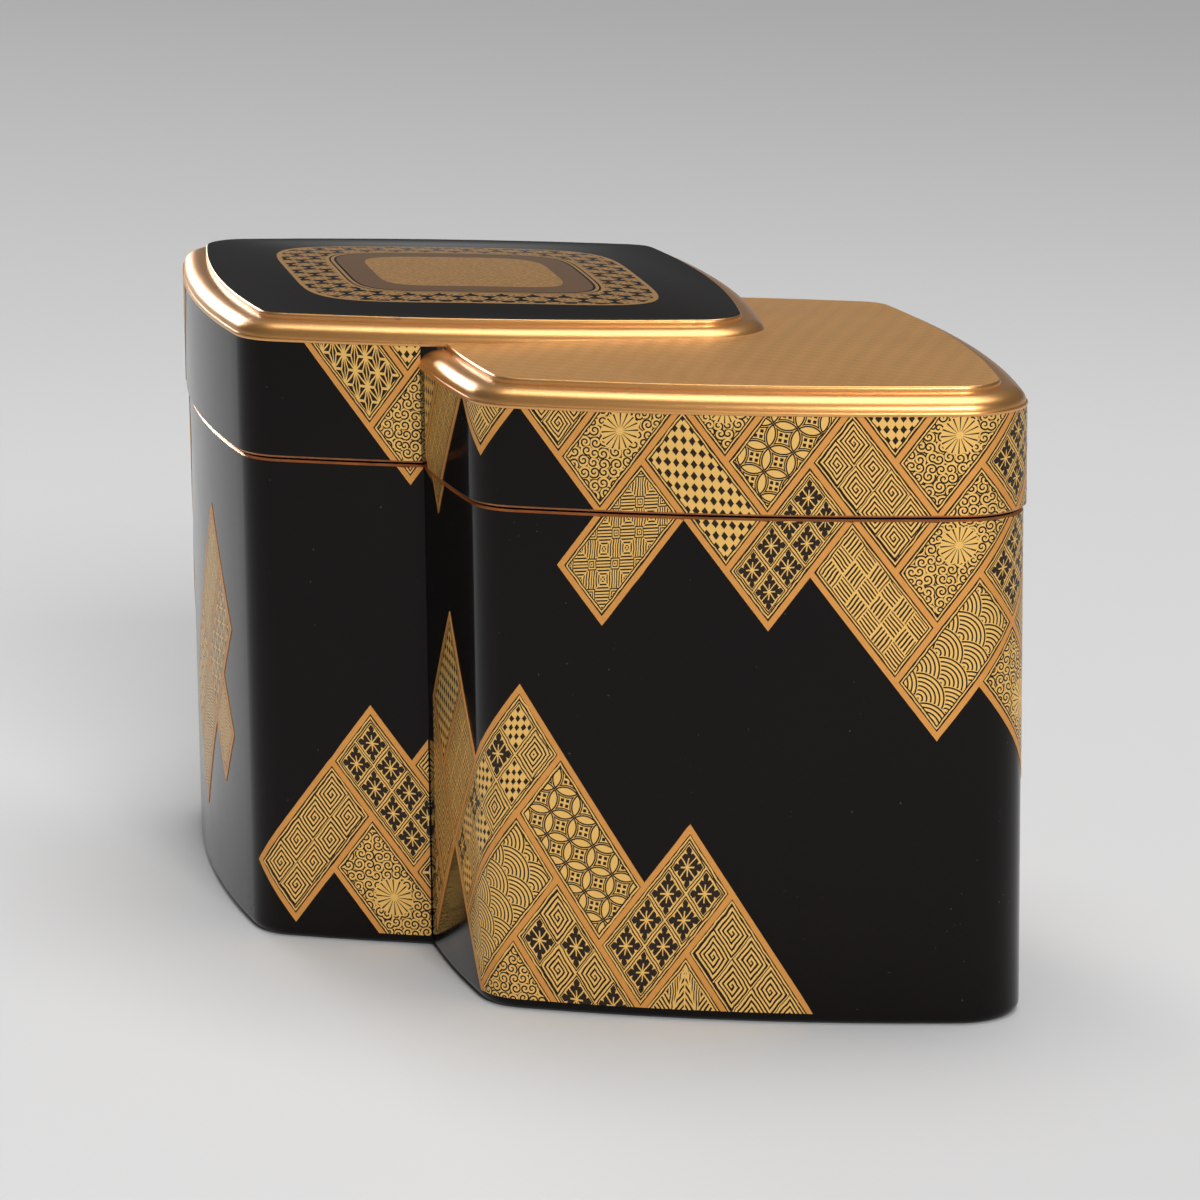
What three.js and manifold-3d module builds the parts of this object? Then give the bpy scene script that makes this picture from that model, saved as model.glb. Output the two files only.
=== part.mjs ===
// Lacquered wooden box in the form of two overlapping lozenges, the one at the back a little taller.
// The lid lifts straight off: its skirt slides down over a thin lip that stands inside the body's wall.
import * as THREE from "three";
import { mergeVertices } from "three/addons/utils/BufferGeometryUtils.js";
import Module from "manifold-3d";

const wasm = await Module();
wasm.setup();

// Plan of each lozenge, in millimetres and degrees
const LOZENGE_SIDE = 48.4; // between the centres of two neighbouring corners
const ACUTE_ANGLE = 70;
const SIDE_BOW = 1.75; // how far a side swells past the straight line between its corners
const CORNER_RADIUS = 7.1;
const TALL_SHIFT_X = -32.1; // from the centre of the low lozenge to that of the tall one
const TALL_SHIFT_Y = 25.3;

// Heights above the base
const SEAM_HEIGHT = 58.4;
const LOW_SHOULDER = 70;
const TALL_SHOULDER = 72.5;

// Body
const FLOOR_THICKNESS = 3.4;
const BASE_ROUND = 1.2; // rounding of the lower edge
const LIP_SETBACK = 1.9; // ledge that the lid rests on
const LIP_THICKNESS = 1.5;
const LIP_HEIGHT = 5;
const LIP_CHAMFER = 0.4;

// Lid
const LID_OVERHANG = 0.35; // the skirt stands this much proud of the body
const LID_THICKNESS = 3.2; // of the two top panels, at their edges
const BEAD_HEIGHT = 0.5; // fine bead round the top of the wall
const BEAD_REACH = 0.15;
const MOULDING_WIDTH = 2.4; // rounded rim inside the bead
const MOULDING_RISE = 1.7;
const QUIRK_WIDTH = 0.5; // narrow flat step between the rim and the panel
const PANEL_EDGE_RISE = 0.65;
const PANEL_EDGE_ROUND = 0.3;
const PANEL_DOME = 0.9; // rise of a panel's middle over its edge

// Fits
const FIT_CLEARANCE = 0.3; // between the lip and the skirt
const SEAM_GAP = 0.3; // between the ledge and the skirt's lower edge

// Fineness of the curves
const SIDE_SEGMENTS = 6;
const CORNER_STEP = 15; // degrees
const MOULDING_SEGMENTS = 5;
const DOME_RINGS = 4;

const LOW_CENTRE = new THREE.Vector2(-TALL_SHIFT_X / 2, -TALL_SHIFT_Y / 2);
const TALL_CENTRE = new THREE.Vector2(TALL_SHIFT_X / 2, TALL_SHIFT_Y / 2);
const LOZENGES = [
  { centre: LOW_CENTRE, shoulder: LOW_SHOULDER },
  { centre: TALL_CENTRE, shoulder: TALL_SHOULDER },
];

// Points round a lozenge, counter-clockwise, with every side moved outwards by grow.
function lozengeOutline(centre, grow) {
  const acute = THREE.MathUtils.degToRad(ACUTE_ANGLE);
  const side = new THREE.Vector2(LOZENGE_SIDE, 0);
  const slant = new THREE.Vector2(-Math.cos(acute), Math.sin(acute)).multiplyScalar(LOZENGE_SIDE);
  const first = centre.clone().addScaledVector(side, -0.5).addScaledVector(slant, -0.5);
  const corners = [
    first,
    first.clone().add(side),
    first.clone().add(side).add(slant),
    first.clone().add(slant),
  ];
  const bowRadius = (LOZENGE_SIDE ** 2 / 4 + SIDE_BOW ** 2) / (2 * SIDE_BOW);
  const halfSweep = Math.asin(LOZENGE_SIDE / 2 / bowRadius);
  const points = [];
  corners.forEach((corner, i) => {
    const next = corners[(i + 1) % 4];
    const afterNext = corners[(i + 2) % 4];
    const outward = next.clone().sub(corner).angle() - Math.PI / 2;
    const nextOutward = afterNext.clone().sub(next).angle() - Math.PI / 2;
    const middle = corner.clone().add(next).multiplyScalar(0.5);
    const hub = middle.clone().add(
      new THREE.Vector2(-Math.cos(outward), -Math.sin(outward)).multiplyScalar(bowRadius - SIDE_BOW),
    );
    const sideCurve = new THREE.ArcCurve(
      hub.x,
      hub.y,
      bowRadius + CORNER_RADIUS + grow,
      outward - halfSweep,
      outward + halfSweep,
      false,
    );
    points.push(...sideCurve.getPoints(SIDE_SEGMENTS).slice(0, -1));
    const turn = THREE.MathUtils.euclideanModulo(nextOutward - outward, 2 * Math.PI) - 2 * halfSweep;
    const cornerCurve = new THREE.ArcCurve(
      next.x,
      next.y,
      CORNER_RADIUS + grow,
      outward + halfSweep,
      outward + halfSweep + turn,
      false,
    );
    const steps = Math.ceil(THREE.MathUtils.radToDeg(turn) / CORNER_STEP);
    points.push(...cornerCurve.getPoints(steps).slice(0, -1));
  });
  return points;
}

// Closed solid of a three.js geometry.
function solidOf(geometry) {
  const bare = new THREE.BufferGeometry();
  bare.setAttribute("position", geometry.getAttribute("position"));
  bare.setIndex(geometry.index);
  const merged = mergeVertices(bare, 1e-4);
  return new wasm.Manifold(
    new wasm.Mesh({
      numProp: 3,
      vertProperties: new Float32Array(merged.attributes.position.array),
      triVerts: new Uint32Array(merged.index.array),
    }),
  );
}

// Upright lozenge prism from one height to another.
function lozengePrism(centre, grow, from, to) {
  const shape = new THREE.Shape(lozengeOutline(centre, grow));
  const geometry = new THREE.ExtrudeGeometry(shape, { depth: to - from, bevelEnabled: false });
  geometry.translate(0, 0, from);
  return solidOf(geometry);
}

// Lozenge solid whose outline changes with height. Each level has a height, the outline's growth,
// and optionally the share by which that outline shrinks towards the centre.
function lozengeLoft(centre, levels) {
  const rings = levels.map(({ height, grow, shrink = 0 }) =>
    lozengeOutline(centre, grow).map((p) => {
      const q = p.clone().lerp(centre, shrink);
      return new THREE.Vector3(q.x, q.y, height);
    }),
  );
  const count = rings[0].length;
  const vertices = rings.flat();
  const bottom = vertices.push(new THREE.Vector3(centre.x, centre.y, levels[0].height)) - 1;
  const top = vertices.push(new THREE.Vector3(centre.x, centre.y, levels.at(-1).height)) - 1;
  const faces = [];
  for (let i = 0; i < count; i++) {
    const j = (i + 1) % count;
    faces.push(bottom, j, i);
    for (let ring = 0; ring < rings.length - 1; ring++) {
      const low = ring * count;
      const high = low + count;
      faces.push(low + i, low + j, high + j, low + i, high + j, high + i);
    }
    const last = (rings.length - 1) * count;
    faces.push(top, last + i, last + j);
  }
  return solidOf(new THREE.BufferGeometry().setFromPoints(vertices).setIndex(faces));
}

function joinAll(solids) {
  return solids.reduce((all, solid) => all.add(solid));
}

function meshOf(name, solid, material) {
  const { vertProperties, triVerts } = solid.getMesh();
  const geometry = new THREE.BufferGeometry();
  geometry.setAttribute("position", new THREE.BufferAttribute(vertProperties, 3));
  geometry.setIndex(new THREE.BufferAttribute(triVerts, 1));
  const mesh = new THREE.Mesh(geometry, material);
  mesh.name = name;
  return mesh;
}

// Body: one wall round the joined outline of both lozenges, a floor, and the lip inside the rim.
const wallThickness = LIP_SETBACK + LIP_THICKNESS;
const lipTop = SEAM_HEIGHT + LIP_HEIGHT;

const bodyOutside = joinAll(
  LOZENGES.map(({ centre }) =>
    lozengeLoft(centre, [
      ...[0, 30, 60].map((degrees) => {
        const angle = THREE.MathUtils.degToRad(degrees);
        return {
          height: BASE_ROUND * (1 - Math.cos(angle)),
          grow: BASE_ROUND * (Math.sin(angle) - 1),
        };
      }),
      { height: BASE_ROUND, grow: 0 },
      { height: SEAM_HEIGHT, grow: 0 },
    ]),
  ),
);
const lip = joinAll(
  LOZENGES.map(({ centre }) =>
    lozengeLoft(centre, [
      { height: FLOOR_THICKNESS, grow: -LIP_SETBACK },
      { height: lipTop - LIP_CHAMFER, grow: -LIP_SETBACK },
      { height: lipTop, grow: -LIP_SETBACK - LIP_CHAMFER },
    ]),
  ),
);
const bodyInside = joinAll(
  LOZENGES.map(({ centre }) => lozengePrism(centre, -wallThickness, FLOOR_THICKNESS, lipTop + 1)),
);
const body = meshOf(
  "body",
  bodyOutside.add(lip).subtract(bodyInside),
  new THREE.MeshStandardMaterial({ color: 0x15110f, roughness: 0.16, metalness: 0, flatShading: true }),
);

// Lid: a skirt round the joined outline and, over each lozenge, a moulded rim and a domed panel.
// Heights are measured from the skirt's lower edge.
const lidFoot = SEAM_HEIGHT + SEAM_GAP;
const quirkInset = BEAD_REACH + MOULDING_WIDTH + QUIRK_WIDTH;

function lidOutside({ centre, shoulder }) {
  const wallTop = shoulder - lidFoot;
  const rimGrow = LID_OVERHANG + BEAD_REACH;
  const rimFoot = wallTop + BEAD_HEIGHT;
  const levels = [
    { height: 0, grow: LID_OVERHANG },
    { height: wallTop, grow: LID_OVERHANG },
    { height: wallTop + BEAD_REACH, grow: rimGrow },
    { height: rimFoot - BEAD_REACH, grow: rimGrow },
    { height: rimFoot, grow: LID_OVERHANG },
  ];
  for (let i = 1; i <= MOULDING_SEGMENTS; i++) {
    const angle = (i / MOULDING_SEGMENTS) * (Math.PI / 2);
    levels.push({
      height: rimFoot + MOULDING_RISE * Math.sin(angle),
      grow: LID_OVERHANG - MOULDING_WIDTH * (1 - Math.cos(angle)),
    });
  }
  const quirk = rimFoot + MOULDING_RISE;
  const panelGrow = rimGrow - quirkInset;
  const panelEdge = quirk + PANEL_EDGE_RISE;
  levels.push(
    { height: quirk, grow: panelGrow },
    { height: panelEdge - PANEL_EDGE_ROUND, grow: panelGrow },
    { height: panelEdge, grow: panelGrow - PANEL_EDGE_ROUND },
  );
  for (let i = 1; i <= DOME_RINGS; i++) {
    const shrink = i / (DOME_RINGS + 1);
    levels.push({
      height: panelEdge + PANEL_DOME * (1 - (1 - shrink) ** 2),
      grow: panelGrow - PANEL_EDGE_ROUND,
      shrink,
    });
  }
  return lozengeLoft(centre, levels);
}

function lidInside({ centre, shoulder }) {
  const panelEdge = shoulder - lidFoot + BEAD_HEIGHT + MOULDING_RISE + PANEL_EDGE_RISE;
  return lozengePrism(centre, FIT_CLEARANCE - LIP_SETBACK, -1, panelEdge - LID_THICKNESS);
}

const lid = meshOf(
  "lid",
  joinAll(LOZENGES.map(lidOutside)).subtract(joinAll(LOZENGES.map(lidInside))),
  new THREE.MeshStandardMaterial({ color: 0xb9833f, roughness: 0.3, metalness: 0.8, flatShading: true }),
);
lid.position.z = lidFoot;

const box = new THREE.Group();
box.add(body, lid);

export default box;
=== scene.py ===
import bmesh
import bpy
import math
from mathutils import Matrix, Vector


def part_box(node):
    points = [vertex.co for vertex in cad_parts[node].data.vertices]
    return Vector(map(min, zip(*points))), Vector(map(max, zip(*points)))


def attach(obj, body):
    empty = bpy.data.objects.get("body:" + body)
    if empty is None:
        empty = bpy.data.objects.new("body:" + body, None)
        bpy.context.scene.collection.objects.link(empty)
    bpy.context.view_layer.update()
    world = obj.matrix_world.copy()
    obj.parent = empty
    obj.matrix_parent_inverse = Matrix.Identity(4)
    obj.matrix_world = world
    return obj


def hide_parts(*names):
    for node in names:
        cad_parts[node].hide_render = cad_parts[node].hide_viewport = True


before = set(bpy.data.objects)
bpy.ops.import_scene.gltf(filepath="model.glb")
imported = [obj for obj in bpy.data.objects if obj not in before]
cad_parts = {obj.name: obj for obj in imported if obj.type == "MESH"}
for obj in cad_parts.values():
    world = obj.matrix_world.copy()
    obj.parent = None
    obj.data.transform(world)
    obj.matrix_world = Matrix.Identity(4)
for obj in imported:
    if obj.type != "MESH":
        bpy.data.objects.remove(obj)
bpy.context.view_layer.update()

# The body.
# Thin wood lacquered black and polished: one wall round the joined outline of two lozenges, a floor,
# and a fine lip that stands up inside the rim to hold the lid.
MM = 0.001
LOZENGE_SIDE = 48.4 * MM
ACUTE_ANGLE = math.radians(70)
SIDE_BOW = 1.75 * MM
CORNER_RADIUS = 7.1 * MM
LOW_CENTRE = Vector((16.05, -12.65)) * MM
SEAM_HEIGHT = 58.4 * MM
FLOOR_TOP = 3.4 * MM
BASE_ROUND = 1.2 * MM
RIM_ROUND = 0.25 * MM
LIP_SETBACK = 1.9 * MM
LIP_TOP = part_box("body")[1][2]
LIP_ROUND = 0.4 * MM
WALL_THICKNESS = 3.4 * MM
SIDE_STEPS = 18
CORNER_STEP = math.radians(6)
CREASE_MARGIN = 4.5 * MM
CREASE_SEARCH = 45 * MM
CREASE_HALVINGS = 30
BASE_TURNS = (0, 18, 36, 54, 72, 90)
SPOT_PLACES = 7


def direction(angle):
    return Vector((math.cos(angle), math.sin(angle)))


def plan_arcs():
    """The arcs round the low lozenge, from its front side on: centre, radius, first angle and sweep."""
    side = Vector((LOZENGE_SIDE, 0))
    slant = Vector((-math.cos(ACUTE_ANGLE), math.sin(ACUTE_ANGLE))) * LOZENGE_SIDE
    first = LOW_CENTRE - (side + slant) / 2
    corners = [first, first + side, first + side + slant, first + slant]
    bow_radius = (LOZENGE_SIDE**2 / 4 + SIDE_BOW**2) / (2 * SIDE_BOW)
    half_sweep = math.asin(LOZENGE_SIDE / 2 / bow_radius)
    arcs = []
    for i, corner in enumerate(corners):
        after = corners[(i + 1) % 4]
        last = corners[(i + 2) % 4]
        outward = math.atan2(*(after - corner).yx) - math.pi / 2
        turn = (math.atan2(*(last - after).yx) - math.pi / 2 - outward) % math.tau
        hub = (corner + after) / 2 - direction(outward) * (bow_radius - SIDE_BOW)
        arcs.append((hub, bow_radius + CORNER_RADIUS, outward - half_sweep, 2 * half_sweep))
        arcs.append((after, CORNER_RADIUS, outward + half_sweep, turn - 2 * half_sweep))
    return arcs


PLAN = plan_arcs()
PERIMETER = sum(radius * sweep for _, radius, _, sweep in PLAN)
HALF_CORNER = PLAN[7][1] * PLAN[7][3] / 2


def wall_point(run, grow=0.0):
    """Place and outward direction on the low lozenge's wall. The run is measured to the right from
    the middle of the near left corner."""
    rest = (run - HALF_CORNER) % PERIMETER
    for hub, radius, angle, sweep in PLAN:
        if rest <= radius * sweep:
            break
        rest -= radius * sweep
    outward = direction(angle + rest / radius)
    return hub + outward * (radius + grow), outward


def run_marks():
    """The runs at which the outline gets a corner point."""
    marks = []
    run = HALF_CORNER
    for i, (_, radius, _, sweep) in enumerate(PLAN):
        steps = SIDE_STEPS if i % 2 == 0 else math.ceil(sweep / CORNER_STEP)
        marks += [run + radius * sweep * step / steps for step in range(steps)]
        run += radius * sweep
    return marks


MARKS = run_marks()


def lozenge_ring(grow, turned=False):
    """Outline of one lozenge. The tall lozenge is the low one turned half round."""
    points = [wall_point(run, grow)[0] for run in MARKS]
    return [-p for p in points] if turned else points


def is_inside(point, ring):
    return all((b - a).cross(point - a) > 0 for a, b in zip(ring, ring[1:] + ring[:1]))


def crease_run(grow, outside, inside):
    """The run at which the low lozenge's wall meets the tall one's."""
    tall = lozenge_ring(grow, turned=True)
    for _ in range(CREASE_HALVINGS):
        middle = (outside + inside) / 2
        if is_inside(wall_point(middle, grow)[0], tall):
            inside = middle
        else:
            outside = middle
    return (outside + inside) / 2


LEFT_CREASE = crease_run(0, 0, -CREASE_SEARCH)
BACK_CREASE = crease_run(0, PERIMETER / 2, PERIMETER / 2 + CREASE_SEARCH)


def joined_ring(grow):
    """Outline of both lozenges together."""
    first = crease_run(grow, 0, -CREASE_SEARCH)
    last = crease_run(grow, PERIMETER / 2, PERIMETER / 2 + CREASE_SEARCH)
    shown = [first]
    for mark in sorted(MARKS + [m - PERIMETER for m in MARKS]):
        if LEFT_CREASE + CREASE_MARGIN < mark < BACK_CREASE - CREASE_MARGIN:
            shown.append(mark)
    low = [wall_point(run, grow)[0] for run in shown + [last]]
    return low[:-1] + [-p for p in low[:-1]]


def spot(point):
    """A place on a ring, rounded so that it can be found again."""
    return round(point.x, SPOT_PLACES), round(point.y, SPOT_PLACES)


def draw_up(name, levels):
    """A closed solid drawn up ring by ring from a flat plate. Each level is a ring and its height."""
    ring, height = levels[0]
    bpy.ops.object.select_all(action="DESELECT")
    bpy.ops.mesh.primitive_circle_add(vertices=len(ring), radius=WALL_THICKNESS, fill_type="NGON")
    piece = bpy.context.object
    piece.name = name
    piece.data.name = name
    for vertex, point in zip(piece.data.vertices, ring):
        vertex.co = (point.x, point.y, height)
    bpy.ops.object.mode_set(mode="EDIT")
    bpy.ops.mesh.select_all(action="SELECT")
    for next_ring, next_height in levels[1:]:
        order = {spot(point): i for i, point in enumerate(ring)}
        bpy.ops.mesh.extrude_region_move()
        shape = bmesh.from_edit_mesh(piece.data)
        for vertex in shape.verts:
            if vertex.select:
                point = next_ring[order[spot(vertex.co)]]
                vertex.co = (point.x, point.y, next_height)
        bmesh.update_edit_mesh(piece.data)
        ring = next_ring
    bpy.ops.mesh.select_all(action="SELECT")
    bpy.ops.mesh.normals_make_consistent(inside=False)
    bpy.ops.object.mode_set(mode="OBJECT")
    return piece


def smooth(piece, degrees=32):
    """Shades a piece smooth, and keeps the edges sharper than this."""
    bpy.ops.object.select_all(action="DESELECT")
    piece.select_set(True)
    bpy.context.view_layer.objects.active = piece
    bpy.ops.object.shade_smooth_by_angle(angle=math.radians(degrees))


base_edge = [
    (joined_ring(BASE_ROUND * (math.sin(t) - 1)), BASE_ROUND * (1 - math.cos(t)))
    for t in [math.radians(turn) for turn in BASE_TURNS]
]
body = draw_up(
    "body_shell",
    base_edge
    + [
        (joined_ring(0), SEAM_HEIGHT - RIM_ROUND),
        (joined_ring(-RIM_ROUND), SEAM_HEIGHT),
        (joined_ring(-LIP_SETBACK), SEAM_HEIGHT),
        (joined_ring(-LIP_SETBACK), LIP_TOP - LIP_ROUND),
        (joined_ring(-LIP_SETBACK - LIP_ROUND), LIP_TOP),
        (joined_ring(-WALL_THICKNESS), LIP_TOP),
        (joined_ring(-WALL_THICKNESS), FLOOR_TOP),
    ],
)
smooth(body)


class Field:
    """A value in a shader, worked on with plain arithmetic."""

    def __init__(self, tree, value):
        self.tree = tree
        self.value = value

    def math(self, operation, *others):
        node = self.tree.nodes.new("ShaderNodeMath")
        node.operation = operation
        for socket, item in zip(node.inputs, (self, *others)):
            value = item.value if isinstance(item, Field) else item
            if isinstance(value, (int, float)):
                socket.default_value = value
            else:
                self.tree.links.new(value, socket)
        return Field(self.tree, node.outputs[0])

    def __add__(self, other):
        return self.math("ADD", other)

    def __sub__(self, other):
        return self.math("SUBTRACT", other)

    def __mul__(self, other):
        return self.math("MULTIPLY", other)

    def __truediv__(self, other):
        return self.math("DIVIDE", other)

    def less(self, other):
        return self.math("LESS_THAN", other)

    def more(self, other):
        return self.math("GREATER_THAN", other)

    def low(self, other):
        return self.math("MINIMUM", other)

    def high(self, other):
        return self.math("MAXIMUM", other)

    def size(self):
        return self.math("ABSOLUTE")

    def part(self):
        return self.math("FRACT")

    def whole(self):
        return self.math("FLOOR")

    def root(self):
        return self.math("SQRT")

    def sine(self):
        return self.math("SINE")

    def flip(self):
        return self * -1 + 1


def new_finish(name):
    """An empty material with its shader, and its object coordinates in millimetres."""
    material = bpy.data.materials.new(name)
    material.use_nodes = True
    tree = material.node_tree
    shader = tree.nodes["Principled BSDF"]
    place = tree.nodes.new("ShaderNodeTexCoord").outputs["Object"]
    scale = tree.nodes.new("ShaderNodeVectorMath")
    scale.operation = "SCALE"
    scale.inputs["Scale"].default_value = 1 / MM
    tree.links.new(place, scale.inputs[0])
    return material, tree, shader, scale.outputs[0]


def noise(tree, place, scale, detail=2.0, roughness=0.5):
    node = tree.nodes.new("ShaderNodeTexNoise")
    node.inputs["Scale"].default_value = scale
    node.inputs["Detail"].default_value = detail
    node.inputs["Roughness"].default_value = roughness
    tree.links.new(place, node.inputs["Vector"])
    return Field(tree, node.outputs["Fac"])


def mix(tree, share, first, second):
    node = tree.nodes.new("ShaderNodeMix")
    node.data_type = "RGBA"
    for socket, item in zip((node.inputs[0], node.inputs[6], node.inputs[7]), (share, first, second)):
        value = item.value if isinstance(item, Field) else item
        if isinstance(value, bpy.types.NodeSocket):
            tree.links.new(value, socket)
        elif isinstance(value, (tuple, list)):
            socket.default_value = (*value, 1.0)
        else:
            socket.default_value = value
    return node.outputs[2]


def bump(tree, shader, height, depth):
    node = tree.nodes.new("ShaderNodeBump")
    node.inputs["Strength"].default_value = 1.0
    node.inputs["Distance"].default_value = depth
    tree.links.new(height.value, node.inputs["Height"])
    tree.links.new(node.outputs[0], shader.inputs["Normal"])


LACQUER_BLACK = (0.0022, 0.0016, 0.0014)
LACQUER_WARM = (0.0056, 0.0036, 0.0026)
LACQUER_DUST = (0.20, 0.18, 0.15)
LACQUER_GLOSS = 0.085
LACQUER_REFLECTION = 0.15
CLOUD_SCALE = 0.035
DUST_LEVEL = 0.875
SPRINKLE_GROUND = (0.055, 0.022, 0.010)
SPRINKLE_GOLD = (0.80, 0.50, 0.19)
SPRINKLE_DEEP = (0.45, 0.22, 0.07)
FLAKES_PER_MM = 2.6
FLAKE_REACH = 0.34
FLAKE_METAL = 0.75
EDGE_GOLD = (0.75, 0.36, 0.13)
EDGE_RED = (0.30, 0.075, 0.03)


def black_lacquer():
    """Deep polished black: faint warm clouds, hairline polishing marks and a few specks of dust."""
    material, tree, shader, place = new_finish("black_lacquer")
    clouds = noise(tree, place, scale=CLOUD_SCALE, detail=3)
    specks = noise(tree, place, scale=2.3, detail=0).more(DUST_LEVEL)
    speck_show = 0.16
    speck_dulling = 0.3
    colour = mix(tree, clouds, LACQUER_BLACK, LACQUER_WARM)
    tree.links.new(mix(tree, specks * speck_show, colour, LACQUER_DUST), shader.inputs["Base Color"])
    haze = noise(tree, place, scale=0.12, detail=4, roughness=0.6)
    haze_dulling = 0.09
    dullness = haze * haze_dulling + LACQUER_GLOSS + specks * speck_dulling
    tree.links.new(dullness.value, shader.inputs["Roughness"])
    shader.inputs["Specular IOR Level"].default_value = LACQUER_REFLECTION
    waviness = noise(tree, place, scale=0.06, detail=1)
    hairlines = noise(tree, place, scale=9.0, detail=2)
    hairline_depth = 0.012
    bump(tree, shader, waviness + hairlines * hairline_depth, 0.02 * MM)
    return material


def sprinkled_lacquer():
    """The inside: clear reddish lacquer over sprinkled gold flakes."""
    material, tree, shader, place = new_finish("sprinkled_lacquer")
    flakes = tree.nodes.new("ShaderNodeTexVoronoi")
    flakes.inputs["Scale"].default_value = FLAKES_PER_MM
    tree.links.new(place, flakes.inputs["Vector"])
    flake = Field(tree, flakes.outputs["Distance"]).less(FLAKE_REACH)
    depth = noise(tree, place, scale=3.0, detail=2)
    colour = mix(tree, depth, SPRINKLE_GOLD, SPRINKLE_DEEP)
    tree.links.new(mix(tree, flake, SPRINKLE_GROUND, colour), shader.inputs["Base Color"])
    tree.links.new((flake * FLAKE_METAL).value, shader.inputs["Metallic"])
    flake_dulling = 0.25
    gloss = 0.14
    tree.links.new((flake * flake_dulling + gloss).value, shader.inputs["Roughness"])
    bump(tree, shader, flake + noise(tree, place, scale=0.1, detail=2), 0.01 * MM)
    return material


def edge_line():
    """The seam's arrises: a hair of gold, rubbed through to the red undercoat."""
    material, tree, shader, place = new_finish("edge_line")
    rubbed = noise(tree, place, scale=0.4, detail=4, roughness=0.7)
    tree.links.new(mix(tree, rubbed, EDGE_GOLD, EDGE_RED), shader.inputs["Base Color"])
    shader.inputs["Metallic"].default_value = 0.7
    rubbed_dulling = 0.3
    gloss = 0.2
    tree.links.new((rubbed * rubbed_dulling + gloss).value, shader.inputs["Roughness"])
    return material


lacquer = black_lacquer()
sprinkled = sprinkled_lacquer()
edging = edge_line()
NEAR = 0.05 * MM
ARRIS_TILT = 0.1


def repaint(piece, material, holds):
    """Gives the faces whose middle and normal pass the test another finish."""
    piece.data.materials.append(material)
    for face in piece.data.polygons:
        if holds(face.center, face.normal):
            face.material_index = len(piece.data.materials) - 1


def within(point, grow):
    return any(is_inside(point.xy, lozenge_ring(grow, turned)) for turned in (False, True))


def finish(piece, material):
    """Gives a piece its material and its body."""
    piece.data.materials.clear()
    piece.data.materials.append(material)
    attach(piece, "root")


finish(body, lacquer)
repaint(body, sprinkled, lambda c, n: c.z > FLOOR_TOP - NEAR and within(c, NEAR - WALL_THICKNESS))
repaint(body, edging, lambda c, n: SEAM_HEIGHT - RIM_ROUND < c.z < SEAM_HEIGHT and n.z > ARRIS_TILT)
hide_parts("body")

# The lid.
# Lacquered wood like the body. Its skirt slides down over the lip and stands a little proud of the
# body, and over each lozenge it closes with a shoulder that carries a rim and a panel.
LID_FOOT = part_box("lid")[0][2]
LID_OVERHANG = 0.35 * MM
LOW_SHOULDER = 70.0 * MM
TALL_SHOULDER = 72.5 * MM
LOW_CEILING = 69.65 * MM
TALL_CEILING = 72.15 * MM
SKIRT_INSET = 1.6 * MM
CUT_SPARE = 2.0 * MM


def boolean(piece, tool, operation):
    """Joins a tool to a piece, or cuts it away, and removes the tool."""
    bpy.ops.object.select_all(action="DESELECT")
    bpy.context.view_layer.objects.active = piece
    modifier = piece.modifiers.new(tool.name, "BOOLEAN")
    modifier.operation = operation
    modifier.solver = "EXACT"
    modifier.object = tool
    bpy.ops.object.modifier_apply(modifier=modifier.name)
    bpy.data.objects.remove(tool)


skirt_ring = joined_ring(LID_OVERHANG)
lid = draw_up(
    "lid_shell",
    [
        (joined_ring(LID_OVERHANG - RIM_ROUND), LID_FOOT),
        (skirt_ring, LID_FOOT + RIM_ROUND),
        (skirt_ring, LOW_SHOULDER),
    ],
)
tall_wall = lozenge_ring(LID_OVERHANG, turned=True)
boolean(lid, draw_up("tall_wall", [(tall_wall, LOW_CEILING), (tall_wall, TALL_SHOULDER)]), "UNION")
for turned, ceiling in ((False, LOW_CEILING), (True, TALL_CEILING)):
    hollow = lozenge_ring(-SKIRT_INSET, turned)
    boolean(lid, draw_up("hollow", [(hollow, LID_FOOT - CUT_SPARE), (hollow, ceiling)]), "DIFFERENCE")
smooth(lid)
finish(lid, lacquer)
repaint(lid, sprinkled, lambda c, n: c.z < TALL_CEILING + NEAR and within(c, NEAR - SKIRT_INSET))
repaint(lid, edging, lambda c, n: LID_FOOT < c.z < LID_FOOT + RIM_ROUND and n.z < -ARRIS_TILT)
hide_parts("lid")

# The moulded rims.
# A fine bead and a quarter-round worked in the wood round each top, covered with gold powder laid in
# lacquer and burnished until they shine.
BEAD_HEIGHT = 0.5 * MM
BEAD_REACH = 0.145 * MM
MOULDING_WIDTH = 2.4 * MM
MOULDING_RISE = 1.7 * MM
QUIRK_WIDTH = 0.5 * MM
RIM_STEPS = 10
BEAD_STEPS = 6
RIM_FOOT_SINK = 0.2 * MM


def rim_levels(shoulder, turned):
    """The bead from its foot up, then the quarter-round over it."""
    levels = [(lozenge_ring(LID_OVERHANG - BEAD_REACH, turned), shoulder - RIM_FOOT_SINK)]
    for step in range(BEAD_STEPS + 1):
        angle = math.pi * step / BEAD_STEPS
        swell = LID_OVERHANG + BEAD_REACH * math.sin(angle)
        levels.append((lozenge_ring(swell, turned), shoulder + BEAD_HEIGHT * (1 - math.cos(angle)) / 2))
    for step in range(RIM_STEPS + 1):
        angle = math.pi / 2 * step / RIM_STEPS
        grow = LID_OVERHANG - BEAD_REACH / 2 - MOULDING_WIDTH * (1 - math.cos(angle))
        height = shoulder + BEAD_HEIGHT + MOULDING_RISE * math.sin(angle)
        levels.append((lozenge_ring(grow, turned), height))
    return levels


GOLD_BRIGHT = (0.90, 0.46, 0.155)
GOLD_DEEP = (0.60, 0.28, 0.08)
GOLD_WORN = (0.30, 0.13, 0.04)
WEAR_LEVEL = 0.66


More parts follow.
